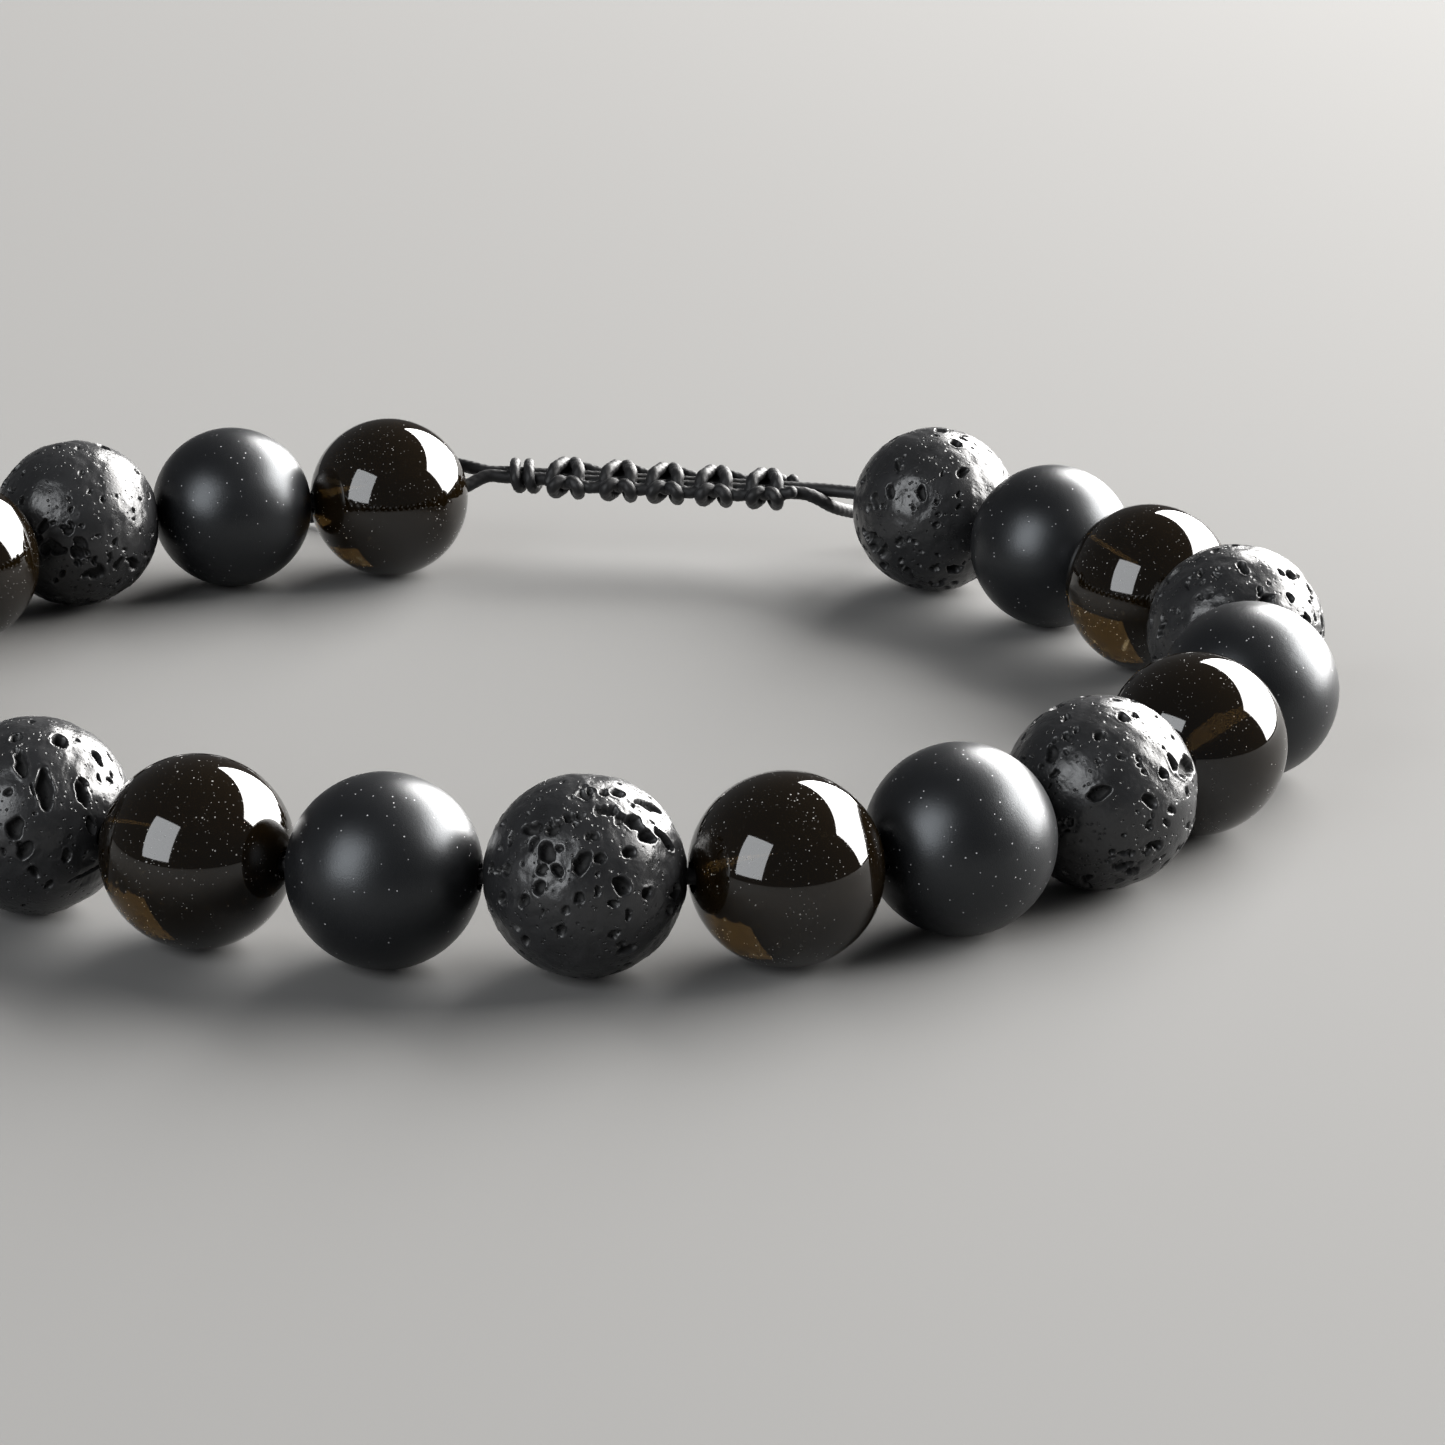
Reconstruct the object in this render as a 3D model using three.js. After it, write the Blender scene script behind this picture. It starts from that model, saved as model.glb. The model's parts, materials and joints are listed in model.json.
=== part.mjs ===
// Wrist mala: 21 stone beads strung on one cord, closed by a macrame sliding knot.
// Millimetres, +Z up. The origin lies on the resting surface, under the middle of the ring.
import * as THREE from "three";

// Driving dimensions
const BEAD_D = 8.04; // polished and frosted beads
const LAVA_D = 8.28; // lava beads are tumbled a little larger
const BORE_D = 1.4;
const BEAD_GAP = 0.02; // between neighbouring beads
const CORD_D = 0.7;
const LANE = 0.4; // half the distance between the two strands inside the sliding knot
const KNOT_COUNT = 5; // square knots in the sliding knot
const WRAP_LENGTH = 1.6; // the finishing turns at the left end
const KNOT_THICK = 2.1; // over one square knot
const NECK_THICK = 1.6; // between two square knots
const KNOT_WIDE = 1.4; // width over thickness of the sliding knot
const CHANNEL_THICK = 1.24; // the way through the sliding knot for both strands
const STOPPER_D = 2.1;
const STOPPER_LENGTH = 2.7;
const JOIN_GAP = 0.3; // where one length of cord ends against the next piece

// Facets
const BEAD_SIDES = 16;
const BEAD_RINGS = 7; // odd, so that a ring of flats lies round the middle
const KNOT_SIDES = 16;
const CORD_SIDES = 8;
const CORE_STEPS = 80;
const TAIL_STEPS = 16;

// The middle line of the strung loop, clockwise seen from above, from the middle of the closure.
const LOOP = [
  [5.4, 29.3], [19.1, 25.2], [28.7, 12.5], [32.2, 4.7], [31.9, -3.5], [23.8, -17.8], [10.7, -26.4],
  [-5.3, -26.7], [-19.9, -20.9], [-30.2, -8.1], [-31.8, 7.9], [-24.6, 21.9], [-9.1, 27.5],
];
const FIRST_BEAD_AT = 1; // the loop point that the first bead sits on

// The ends of the sliding knot.
const KNOT_LEFT = [-2.8, 29.8, 4.6];
const KNOT_RIGHT = [11.9, 28.4, 4.2];
const STRAIGHT_LEFT = 0.8; // the strands run straight this far past each end
const STRAIGHT_RIGHT = 1.8;

// The free tails: from the sliding knot's ends, down behind the nearest beads and along the surface.
const LEFT_TAIL = [
  [-2.8, 30.2, 4.6], [-3.6, 30.3, 4.6], [-4.6, 30.8, 4.7], [-5.5, 31.7, 4.6], [-6.5, 32.6, 4.1],
  [-7.7, 33.5, 3.3], [-9.0, 34.4, 2.4], [-10.4, 35.2, 1.5], [-12.0, 35.8, 0.8], [-13.9, 36.1, 0.42],
  [-16.0, 36.1, 0.36], [-18.1, 35.8, 0.36], [-20.2, 35.2, 0.36], [-22.2, 34.5, 0.36],
  [-24.2, 34.0, 0.36], [-26.2, 33.6, 0.36], [-28.2, 33.1, 0.36], [-30.0, 32.1, 0.36],
  [-31.4, 30.5, 0.36], [-32.2, 28.5, 0.36],
];
const RIGHT_TAIL = [
  [11.9, 28.0, 4.2], [12.7, 27.95, 4.12], [13.3, 28.0, 3.85], [13.85, 28.3, 3.45], [14.35, 28.85, 3.1],
  [14.9, 29.6, 2.75], [15.7, 30.6, 2.3], [16.9, 31.6, 1.65], [18.4, 32.5, 1.0], [20.1, 33.0, 0.55],
  [22.1, 32.8, 0.36], [23.9, 32.0, 0.36], [25.5, 30.8, 0.36], [27.0, 29.4, 0.36], [28.5, 27.9, 0.36],
  [30.2, 26.6, 0.36], [32.1, 25.6, 0.36], [33.7, 24.5, 0.36], [34.8, 22.8, 0.36], [34.9, 20.6, 0.36],
];

const stone = (color, roughness) => new THREE.MeshStandardMaterial({ color, roughness, metalness: 0 });
const cordFinish = () => new THREE.MeshStandardMaterial({ color: 0x0c0c0d, roughness: 0.62, metalness: 0 });
const KINDS = [
  { name: "lava", diameter: LAVA_D, finish: () => stone(0x1b1b1c, 0.55) },
  { name: "frosted", diameter: BEAD_D, finish: () => stone(0x222326, 0.48) },
  { name: "polished", diameter: BEAD_D, finish: () => stone(0x0a0908, 0.06) },
];
const BEAD_COUNT = 21;

const X_AXIS = new THREE.Vector3(1, 0, 0);
const vector = ([x, y, z = 0]) => new THREE.Vector3(x, y, z);
const smooth = (points) => new THREE.CatmullRomCurve3(points, false, "centripetal");

// A solid of revolution about X, from a profile of [along, radius] pairs. A half step of turn puts a
// flat side, not an edge, at the bottom.
function turned(profile, sides) {
  const shape = profile.map(([along, radius]) => new THREE.Vector2(radius, along));
  const geometry = new THREE.LatheGeometry(shape, sides);
  geometry.rotateY(Math.PI / sides + Math.PI / 2).rotateZ(-Math.PI / 2);
  return geometry;
}

// A round cord along a smooth curve, with flat ends.
function cord(curve, steps) {
  const section = new THREE.Shape();
  for (let i = 0; i < CORD_SIDES; i++) {
    const turn = ((i + 0.5) / CORD_SIDES) * 2 * Math.PI;
    const point = [(Math.cos(turn) * CORD_D) / 2, (Math.sin(turn) * CORD_D) / 2];
    if (i === 0) section.moveTo(...point);
    else section.lineTo(...point);
  }
  section.closePath();
  curve.arcLengthDivisions = 4000;
  return new THREE.ExtrudeGeometry(section, { steps, bevelEnabled: false, extrudePath: curve });
}

// A bored ball about X. Its widest ring of flats is exactly as wide as the bead, so that it rests on one.
function bead(diameter) {
  const radius = diameter / 2;
  const mouth = Math.asin(BORE_D / 2 / radius);
  const step = (Math.PI - 2 * mouth) / BEAD_RINGS;
  const stretch = 1 / (Math.cos(Math.PI / BEAD_SIDES) * Math.cos(step / 2));
  const profile = [];
  for (let i = 0; i <= BEAD_RINGS; i++) {
    const angle = mouth + i * step;
    const rim = i === 0 || i === BEAD_RINGS;
    profile.push([-radius * Math.cos(angle), radius * Math.sin(angle) * (rim ? 1 : stretch)]);
  }
  profile.push(profile[0]);
  return turned(profile, BEAD_SIDES);
}

// The sliding knot about X: a row of square knots and a wrapped end, with an oblong channel for two strands.
function slidingKnot(length) {
  const outer = [];
  const thick = (along, thickness) => outer.push([along, thickness / 2]);
  const start = -length / 2;
  thick(start, CHANNEL_THICK + 0.3);
  thick(start + 0.35, KNOT_THICK - 0.3);
  thick(start + WRAP_LENGTH - 0.3, KNOT_THICK - 0.3);
  const pitch = (length - WRAP_LENGTH) / KNOT_COUNT;
  for (let i = 0; i < KNOT_COUNT; i++) {
    const from = start + WRAP_LENGTH + i * pitch;
    thick(from, NECK_THICK);
    thick(from + 0.3 * pitch, KNOT_THICK);
    thick(from + 0.7 * pitch, KNOT_THICK);
  }
  thick(length / 2, CHANNEL_THICK + 0.3);
  const inside = [[length / 2, CHANNEL_THICK / 2], [start, CHANNEL_THICK / 2]];
  const profile = [...outer, ...inside];
  profile.push(profile[0]);
  return turned(profile, KNOT_SIDES).scale(1, KNOT_WIDE, 1);
}

// A stopper knot about X, a small barrel.
function stopperKnot() {
  const end = STOPPER_LENGTH / 2;
  const flat = STOPPER_D / 2 / Math.cos(Math.PI / KNOT_SIDES);
  return turned(
    [[-end, 0], [-end, 0.6 * flat], [-0.5 * end, flat], [0.5 * end, flat], [end, 0.6 * flat], [end, 0]],
    KNOT_SIDES,
  );
}

const knotLeft = vector(KNOT_LEFT);
const knotRight = vector(KNOT_RIGHT);
const knotAxis = knotRight.clone().sub(knotLeft).normalize();
const knotSide = new THREE.Vector3(0, 0, 1).cross(knotAxis).normalize(); // points to the back

// A point of a strand: the rear lane has side 1, the front one -1.
function lane(end, side, along) {
  return end.clone().addScaledVector(knotSide, side * LANE).addScaledVector(knotAxis, along);
}

// Where each bead sits: one bead after the other along the loop, each as far on as the two radii say.
function beadPlaces() {
  const loop = new THREE.CatmullRomCurve3(LOOP.map(vector), true, "centripetal");
  const places = [];
  let at = FIRST_BEAD_AT / LOOP.length;
  for (let i = 0; i < BEAD_COUNT; i++) {
    const kind = KINDS[i % KINDS.length];
    if (i > 0) {
      const last = places[i - 1];
      const reach = (last.kind.diameter + kind.diameter) / 2 + BEAD_GAP;
      let near = at;
      let far = at + 2 / LOOP.length;
      while (far - near > 1e-9) {
        const middle = (near + far) / 2;
        if (loop.getPoint(middle).distanceTo(last.flat) < reach) near = middle;
        else far = middle;
      }
      at = near;
    }
    const flat = loop.getPoint(at);
    places.push({ kind, flat, centre: flat.clone().setZ(kind.diameter / 2) });
  }
  places.forEach((place, i) => {
    const before = places[i - 1]?.flat ?? lane(knotRight, 1, STRAIGHT_RIGHT).setZ(0);
    const after = places[i + 1]?.flat ?? lane(knotLeft, -1, -STRAIGHT_LEFT).setZ(0);
    place.axis = after.clone().sub(before).normalize();
    place.name = `${place.kind.name}_bead_${String(i + 1).padStart(2, "0")}`;
  });
  return places;
}

// The core cord: in at the left end, along the rear lane, through every bead, and back along the front lane.
function coreRoute(places) {
  const route = [lane(knotLeft, 1, JOIN_GAP), lane(knotLeft, 1, 4), lane(knotRight, 1, -4)];
  route.push(lane(knotRight, 1, 0), lane(knotRight, 1, STRAIGHT_RIGHT));
  for (const { centre, axis, kind } of places) {
    const half = 0.4 * kind.diameter;
    route.push(centre.clone().addScaledVector(axis, -half), centre.clone().addScaledVector(axis, half));
  }
  route.push(lane(knotLeft, -1, -STRAIGHT_LEFT), lane(knotLeft, -1, 0));
  route.push(lane(knotLeft, -1, 4), lane(knotRight, -1, -4), lane(knotRight, -1, -JOIN_GAP));
  return route;
}

function add(group, name, geometry, material) {
  const mesh = new THREE.Mesh(geometry, material);
  mesh.name = name;
  group.add(mesh);
  return mesh;
}

const mala = new THREE.Group();
const places = beadPlaces();
for (const { kind, name, centre, axis } of places) {
  const mesh = add(mala, name, bead(kind.diameter), kind.finish());
  mesh.position.copy(centre);
  mesh.rotation.z = Math.atan2(axis.y, axis.x);
}

add(mala, "core_cord", cord(smooth(coreRoute(places)), CORE_STEPS), cordFinish());

const knot = add(mala, "sliding_knot", slidingKnot(knotLeft.distanceTo(knotRight)), cordFinish());
knot.position.copy(knotLeft).add(knotRight).multiplyScalar(0.5);
knot.quaternion.setFromUnitVectors(X_AXIS, knotAxis);

for (const [side, points] of [["left", LEFT_TAIL], ["right", RIGHT_TAIL]]) {
  const route = points.map(vector);
  add(mala, `${side}_tail`, cord(smooth(route), TAIL_STEPS), cordFinish());
  const stopper = add(mala, `${side}_stopper_knot`, stopperKnot(), cordFinish());
  const end = route.at(-1);
  const heading = end.clone().sub(route.at(-2)).setZ(0).normalize();
  stopper.position.copy(end).addScaledVector(heading, STOPPER_LENGTH / 2 + JOIN_GAP).setZ(STOPPER_D / 2);
  stopper.rotation.z = Math.atan2(heading.y, heading.x);
}

export default mala;
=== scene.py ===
"""A wrist mala: lava, frosted and polished stone beads on one braided cord, with a macrame sliding knot.

Everything is in metres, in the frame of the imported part: +Z up, with the surface that the mala lies on at 0.
"""

import json
import math

import bmesh
import bpy
import numpy as np
from bpy.props import FloatProperty, FloatVectorProperty, IntProperty, PointerProperty
from bpy.types import Operator, Panel, PropertyGroup
from mathutils import Matrix, Vector


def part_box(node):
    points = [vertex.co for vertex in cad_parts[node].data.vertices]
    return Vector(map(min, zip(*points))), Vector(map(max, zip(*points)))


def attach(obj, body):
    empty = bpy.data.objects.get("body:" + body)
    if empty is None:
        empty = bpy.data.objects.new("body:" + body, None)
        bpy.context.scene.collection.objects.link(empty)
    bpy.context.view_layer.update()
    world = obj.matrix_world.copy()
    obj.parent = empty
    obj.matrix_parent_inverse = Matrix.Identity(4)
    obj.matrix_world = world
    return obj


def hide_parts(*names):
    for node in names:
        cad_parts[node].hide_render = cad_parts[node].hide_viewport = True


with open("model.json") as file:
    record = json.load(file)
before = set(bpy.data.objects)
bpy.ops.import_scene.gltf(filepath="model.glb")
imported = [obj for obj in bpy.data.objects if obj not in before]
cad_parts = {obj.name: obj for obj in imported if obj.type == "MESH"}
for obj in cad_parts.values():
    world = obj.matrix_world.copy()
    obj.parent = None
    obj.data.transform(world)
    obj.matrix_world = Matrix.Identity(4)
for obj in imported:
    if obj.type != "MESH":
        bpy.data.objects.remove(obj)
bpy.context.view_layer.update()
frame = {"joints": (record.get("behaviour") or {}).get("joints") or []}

bl_info = {
    "name": "Bead Mala",
    "version": (1, 0, 0),
    "blender": (4, 5, 0),
    "location": "3D View > Sidebar > Mala",
    "description": "Strings a wrist mala of lava, frosted and polished stone beads",
    "category": "Add Mesh",
}

MM = 0.001
UP = Vector((0, 0, 1))

# The sliding knot's ends and the strands that leave it, as the part has them, in millimetres.
KNOT_LEFT = Vector((-2.8, 29.8, 4.6)) * MM
KNOT_RIGHT = Vector((11.9, 28.4, 4.2)) * MM
LANE = 0.4 * MM  # half the distance between the two strands inside the knot
STRAIGHT_LEFT = 0.8 * MM
STRAIGHT_RIGHT = 1.8 * MM
STRAND_INSIDE = 4 * MM  # how far inside each end of the knot a strand has its next point
JOIN_OVERLAP = 0.15 * MM  # how far the core cord's ends run on into the tails
BORE_REACH = 0.8  # the cord runs straight this share of a bead's radius to each side of its centre
SQUARE_KNOTS = (3.3, 6.0, 8.4, 10.9, 13.5)  # where each lies along the sliding knot from its left end, in mm
HALF_KNOT = 0.44 * MM  # from a square knot's middle to each of its two half knots
END_KNOT_LENGTH = 2.7 * MM

# How finely things are cut up: steps along cords and faces round cords and beads.
FREE_CORD_STEP = 0.07 * MM
CORE_CORD_STEP = 0.11 * MM
KNOTTING_CORD_STEP = 0.06 * MM
CURVE_CUTS = 24  # points from one given point of a route to the next, before they are spaced evenly
CORD_SIDES = 20
BRAID_RELIEF = 0.12  # depth of the braid's weave, as a share of the cord's radius
TURN_CUTS = 16  # points in one turn of the sliding knot's end
END_KNOT_CUTS = 12  # points in one turn of an end knot
LIP_CUTS = 6  # steps across the rounded lip of a bore
LAVA_RINGS, LAVA_SIDES = 236, 396
SMOOTH_RINGS, SMOOTH_SIDES = 72, 120
LAVA_SEED = 40  # the first lava bead's, with one more for each that follows
PIT_CLUSTERS = 9

# The two free tails, each from the knot's end outwards, as the part has them, in millimetres.
LEFT_TAIL = [
    (-2.8, 30.2, 4.6), (-3.6, 30.3, 4.6), (-4.6, 30.8, 4.7), (-5.5, 31.7, 4.6), (-6.5, 32.6, 4.1),
    (-7.7, 33.5, 3.3), (-9.0, 34.4, 2.4), (-10.4, 35.2, 1.5), (-12.0, 35.8, 0.8), (-13.9, 36.1, 0.42),
    (-16.0, 36.1, 0.36), (-18.1, 35.8, 0.36), (-20.2, 35.2, 0.36), (-22.2, 34.5, 0.36),
    (-24.2, 34.0, 0.36), (-26.2, 33.6, 0.36), (-28.2, 33.1, 0.36), (-30.0, 32.1, 0.36),
    (-31.4, 30.5, 0.36), (-32.2, 28.5, 0.36),
]
RIGHT_TAIL = [
    (11.9, 28.0, 4.2), (12.7, 27.95, 4.12), (13.3, 28.0, 3.85), (13.85, 28.3, 3.45), (14.35, 28.85, 3.1),
    (14.9, 29.6, 2.75), (15.7, 30.6, 2.3), (16.9, 31.6, 1.65), (18.4, 32.5, 1.0), (20.1, 33.0, 0.55),
    (22.1, 32.8, 0.36), (23.9, 32.0, 0.36), (25.5, 30.8, 0.36), (27.0, 29.4, 0.36), (28.5, 27.9, 0.36),
    (30.2, 26.6, 0.36), (32.1, 25.6, 0.36), (33.7, 24.5, 0.36), (34.8, 22.8, 0.36), (34.9, 20.6, 0.36),
]

# Half widths of the large, middling and small pits of lava, in millimetres, and the running share of each.
PIT_WIDTHS = ((0.24, 0.36), (0.14, 0.24), (0.07, 0.14))
PIT_SHARES = (0.07, 0.34)

# Lava skin: (height, wavelength) of what makes the edges of its pits ragged, and of its own lumps and grit.
PIT_RAGGEDNESS = ((0.034 * MM, 0.75 * MM), (0.011 * MM, 0.3 * MM))
SKIN_LUMPS = ((0.022 * MM, 2.4 * MM), (0.009 * MM, 0.8 * MM), (0.0022 * MM, 0.25 * MM))
SKIN_SUNK = 0.02 * MM  # how far the whole skin lies under the ball's surface
PIT_REACH = 2.2  # how far a pit changes the skin about it, in half lengths of the pit
CLUSTERED = 0.55  # the share of the random pits that lie in clusters
RIM_HEIGHT = 0.028 * MM  # of the highest rim round a pit
FULL_PIT = 0.3 * MM  # a pit as deep as this is as dark as any, by the painted shade in the pits
BARE_MOUTH = 0.1 * MM  # round each bore mouth the skin stays smooth this far,
MOUTH_FADE = 0.5 * MM  # and its relief grows to its full height over this

# Large pits on two front beads: where they lie across and up in shares of the bead's radius as seen from
# the front, then their half length and half width in millimetres and their turn in degrees.
KNOWN_PITS = {
    "lava_bead_10": (
        (0.32, 0.79, 0.34, 0.26, -30), (0.22, 0.62, 0.46, 0.26, -5), (0.62, 0.67, 0.78, 0.27, -48),
        (0.48, 0.50, 0.45, 0.38, -60), (0.59, 0.38, 0.42, 0.32, -20), (0.775, 0.34, 0.64, 0.26, -68),
        (0.43, 0.22, 0.28, 0.25, 0), (-0.36, 0.22, 0.46, 0.34, -70), (-0.49, 0.31, 0.32, 0.20, 80),
        (-0.30, 0.45, 0.35, 0.24, 60), (-0.155, 0.55, 0.27, 0.24, 30), (-0.26, 0.04, 0.32, 0.23, -50),
        (0.35, -0.10, 0.42, 0.33, -70), (0.09, 0.38, 0.19, 0.17, 0), (0.145, 0.16, 0.25, 0.20, 60),
        (0.05, 0.82, 0.20, 0.16, 10), (0.60, -0.18, 0.28, 0.25, 20), (0.88, -0.16, 0.33, 0.28, 60),
        (-0.76, 0.05, 0.30, 0.20, 80), (-0.05, -0.22, 0.26, 0.18, 40), (0.27, -0.27, 0.24, 0.15, 10),
        (-0.24, -0.53, 0.26, 0.21, 70), (-0.59, -0.25, 0.32, 0.22, 60), (-0.80, -0.22, 0.30, 0.22, 75),
        (-0.43, 0.74, 0.16, 0.13, 0), (-0.58, -0.63, 0.32, 0.20, 60), (0.28, -0.57, 0.28, 0.18, 25),
        (0.65, 0.50, 0.13, 0.11, 0), (0.46, 0.66, 0.15, 0.11, 30), (-0.12, 0.76, 0.17, 0.12, 20),
    ),
    "lava_bead_13": (
        (0.115, 0.26, 0.92, 0.33, 88), (0.48, 0.19, 0.56, 0.30, 88), (-0.11, 0.53, 0.66, 0.26, 105),
        (-0.15, 0.79, 0.36, 0.20, 80), (0.65, 0.53, 0.42, 0.24, 70), (0.65, 0.34, 0.18, 0.14, 60),
        (0.78, 0.37, 0.16, 0.12, 0), (0.88, 0.37, 0.15, 0.10, 80), (0.27, 0.74, 0.20, 0.12, 60),
        (0.46, 0.73, 0.13, 0.08, 70), (-0.20, -0.13, 0.50, 0.33, 70), (0.30, -0.42, 0.34, 0.15, 85),
        (0.55, -0.13, 0.40, 0.18, 95), (-0.11, -0.34, 0.46, 0.28, 60), (0.50, -0.60, 0.95, 0.09, 17),
        (0.10, -0.70, 0.30, 0.16, 40), (-0.50, 0.10, 0.44, 0.26, 80), (-0.45, -0.45, 0.30, 0.22, 20),
    ),
}

# The camera.
CAMERA_AT = Vector((6.92, -209.49, 72.59)) * MM
CAMERA_DOWN = math.radians(18.794)
CAMERA_RIGHT = math.radians(0.364)
CAMERA_ROLL = math.radians(0.220)

# Each light: the way to it from the middle of the mala, how far off it is, its width and height, its colour.
WINDOW_LIGHT = ((0.73, 0.55, 0.41), 0.8, (1.12, 0.66), (1.0, 0.985, 0.965))
FILL_LIGHT = ((-0.618, -0.64, 0.455), 0.75, (0.46, 0.58), (0.95, 0.975, 1.0))
STUDIO_COLOUR = (0.62, 0.63, 0.65, 1)
STUDIO_STRENGTH = 0.16
FLOOR_REACH = 1.2  # from the floor's middle to its edges


class MalaBeads(PropertyGroup):
    """Sizes and finishes of the stone beads."""

    bore: FloatProperty(
        name="Bore", description="Diameter of the hole through each bead", default=1.05 * MM, min=0.8 * MM,
        max=3 * MM, unit="LENGTH", precision=5,
    )
    lip: FloatProperty(
        name="Bore lip", description="Radius that rounds each mouth of the bore", default=0.08 * MM,
        min=0.02 * MM, max=0.5 * MM, unit="LENGTH", precision=5,
    )
    pits: IntProperty(
        name="Pits", description="Gas bubbles cut open on the skin of one lava bead", default=210, min=0,
        max=600,
    )
    pit_depth: FloatProperty(
        name="Pit depth", description="Depth of the deepest pit", default=0.5 * MM, min=0, max=1 * MM,
        unit="LENGTH", precision=5,
    )
    lava_colour: FloatVectorProperty(
        name="Lava", description="Colour of the lava skin", default=(0.0125, 0.0127, 0.0135), min=0, max=1,
        subtype="COLOR",
    )
    frosted_colour: FloatVectorProperty(
        name="Frosted", description="Colour of the frosted stone", default=(0.0064, 0.0067, 0.0075), min=0,
        max=1, subtype="COLOR",
    )
    polished_colour: FloatVectorProperty(
        name="Polished", description="Colour that light takes on inside the polished stone",
        default=(0.0066, 0.0038, 0.0011), min=0, max=1, subtype="COLOR",
    )


class MalaCord(PropertyGroup):
    """Sizes and finish of the braided cord."""

    diameter: FloatProperty(
        name="Cord", description="Diameter of the cord", default=0.7 * MM, min=0.3 * MM, max=1.2 * MM,
        unit="LENGTH", precision=5,
    )
    plait: FloatProperty(
        name="Plait", description="Length of one crossing of the braid", default=0.42 * MM, min=0.1 * MM,
        max=2 * MM, unit="LENGTH", precision=5,
    )
    colour: FloatVectorProperty(
        name="Cord colour", description="Colour of the waxed thread", default=(0.0044, 0.0044, 0.0048), min=0,
        max=1, subtype="COLOR",
    )


class MalaStage(PropertyGroup):
    """Camera, floor and lights."""

    focal_length: FloatProperty(
        name="Focal length", description="Lens of the camera, in millimetres of a 36 mm sensor",
        default=120.34, min=20, max=400,
    )
    floor_colour: FloatVectorProperty(
        name="Floor", description="Colour of the floor", default=(0.155, 0.154, 0.151), min=0, max=1,
        subtype="COLOR",
    )
    key_power: FloatProperty(
        name="Window", description="Power of the large light at the back right", default=58.0, min=0,
        unit="POWER",
    )
    fill_power: FloatProperty(
        name="Fill", description="Power of the small light at the front left", default=5.6, min=0,
        unit="POWER",
    )


# ---------------------------------------------------------------- routes and meshes


def spline(points, step):
    """Points about every step along the centripetal Catmull-Rom curve through points, as an array."""
    knots = np.array([tuple(p) for p in points])
    ends = [2 * knots[0] - knots[1], 2 * knots[-1] - knots[-2]]
    knots = np.vstack([ends[0], knots, ends[1]])
    fine = []
    for before, start, end, after in zip(knots, knots[1:], knots[2:], knots[3:]):
        gaps = [np.linalg.norm(b - a) ** 0.5 for a, b in ((before, start), (start, end), (end, after))]
        first = (start - before) / gaps[0] - (end - before) / (gaps[0] + gaps[1]) + (end - start) / gaps[1]
        last = (end - start) / gaps[1] - (after - start) / (gaps[1] + gaps[2]) + (after - end) / gaps[2]
        t = np.linspace(0, 1, CURVE_CUTS, endpoint=False)[:, None]
        fine.append(
            (2 * t**3 - 3 * t**2 + 1) * start
            + (t**3 - 2 * t**2 + t) * first * gaps[1]
            + (3 * t**2 - 2 * t**3) * end
            + (t**3 - t**2) * last * gaps[1]
        )
    fine = np.vstack([*fine, knots[-2:-1]])
    run = length_along(fine)
    places = np.linspace(0, run[-1], max(2, round(run[-1] / step) + 1))
    return np.column_stack([np.interp(places, run, fine[:, i]) for i in range(3)])


def length_along(route):
    """The distance from the first point to each point of a route."""
    return np.concatenate([[0], np.cumsum(np.linalg.norm(np.diff(route, axis=0), axis=1))])


def plait_height(along, around, plait, strands=4):
    """Height, 0 to 1, of a round braid whose strands cross in a plain weave."""
    one = strands * around + along / plait
    other = strands * around - along / plait
    over = 0.5 + 0.5 * np.sin(math.pi * one) * np.sin(math.pi * other)
    return np.abs(np.sin(math.pi * one)) * over + np.abs(np.sin(math.pi * other)) * (1 - over)


def tube(route, radius, plait, cap=0.5):
    """A mesh's points, faces and UVs: a tube along route with a braid in low relief and rounded ends."""
    sides = CORD_SIDES
    ahead = np.gradient(route, axis=0)
    ahead /= np.linalg.norm(ahead, axis=1)[:, None]
    across = np.zeros_like(route)
    side = np.cross(ahead[0], (0.13, 0.07, 1.0))
    for i, direction in enumerate(ahead):
        side = side - direction * side.dot(direction)
        side /= np.linalg.norm(side)
        across[i] = side
    rise = np.cross(ahead, across)
    run = length_along(route)
    bends = [math.radians(a) for a in (75, 50, 25)]
    # Each row of points: its place on the route, its push along it and its share of the radius.
    rows = [(0, -cap * math.sin(a), math.cos(a)) for a in bends]
    rows += [(i, 0.0, 1.0) for i in range(len(route))]
    rows += [(len(route) - 1, cap * math.sin(a), math.cos(a)) for a in reversed(bends)]
    around = np.arange(sides) / sides
    points = []
    for i, push, share in rows:
        weave = plait_height(run[i] + push * radius, around, plait)
        reach = radius * share * (1 - BRAID_RELIEF + BRAID_RELIEF * weave)
        turn = 2 * math.pi * around
        ring = np.cos(turn)[:, None] * across[i] + np.sin(turn)[:, None] * rise[i]
        points.append(route[i] + push * radius * ahead[i] + ring * reach[:, None])
    points = np.vstack([*points, route[0] - cap * radius * ahead[0], route[-1] + cap * radius * ahead[-1]])
    faces, uvs = [], []
    heights = [run[i] + push * radius for i, push, _ in rows]
    for i in range(len(rows) - 1):
        for j in range(sides):
            k = (j + 1) % sides
            faces.append((i * sides + j, i * sides + k, (i + 1) * sides + k, (i + 1) * sides + j))
            low, high, left, right = heights[i], heights[i + 1], j / sides, (j + 1) / sides
            uvs += [(low, left), (low, right), (high, right), (high, left)]
    for row, tip in ((0, len(points) - 2), (len(rows) - 1, len(points) - 1)):
        for j in range(sides):
            faces.append((row * sides + (j + 1) % sides, row * sides + j, tip))
            uvs += [(heights[row], (j + 1) / sides), (heights[row], j / sides), (heights[row], j / sides)]
    return points, faces, uvs


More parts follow.
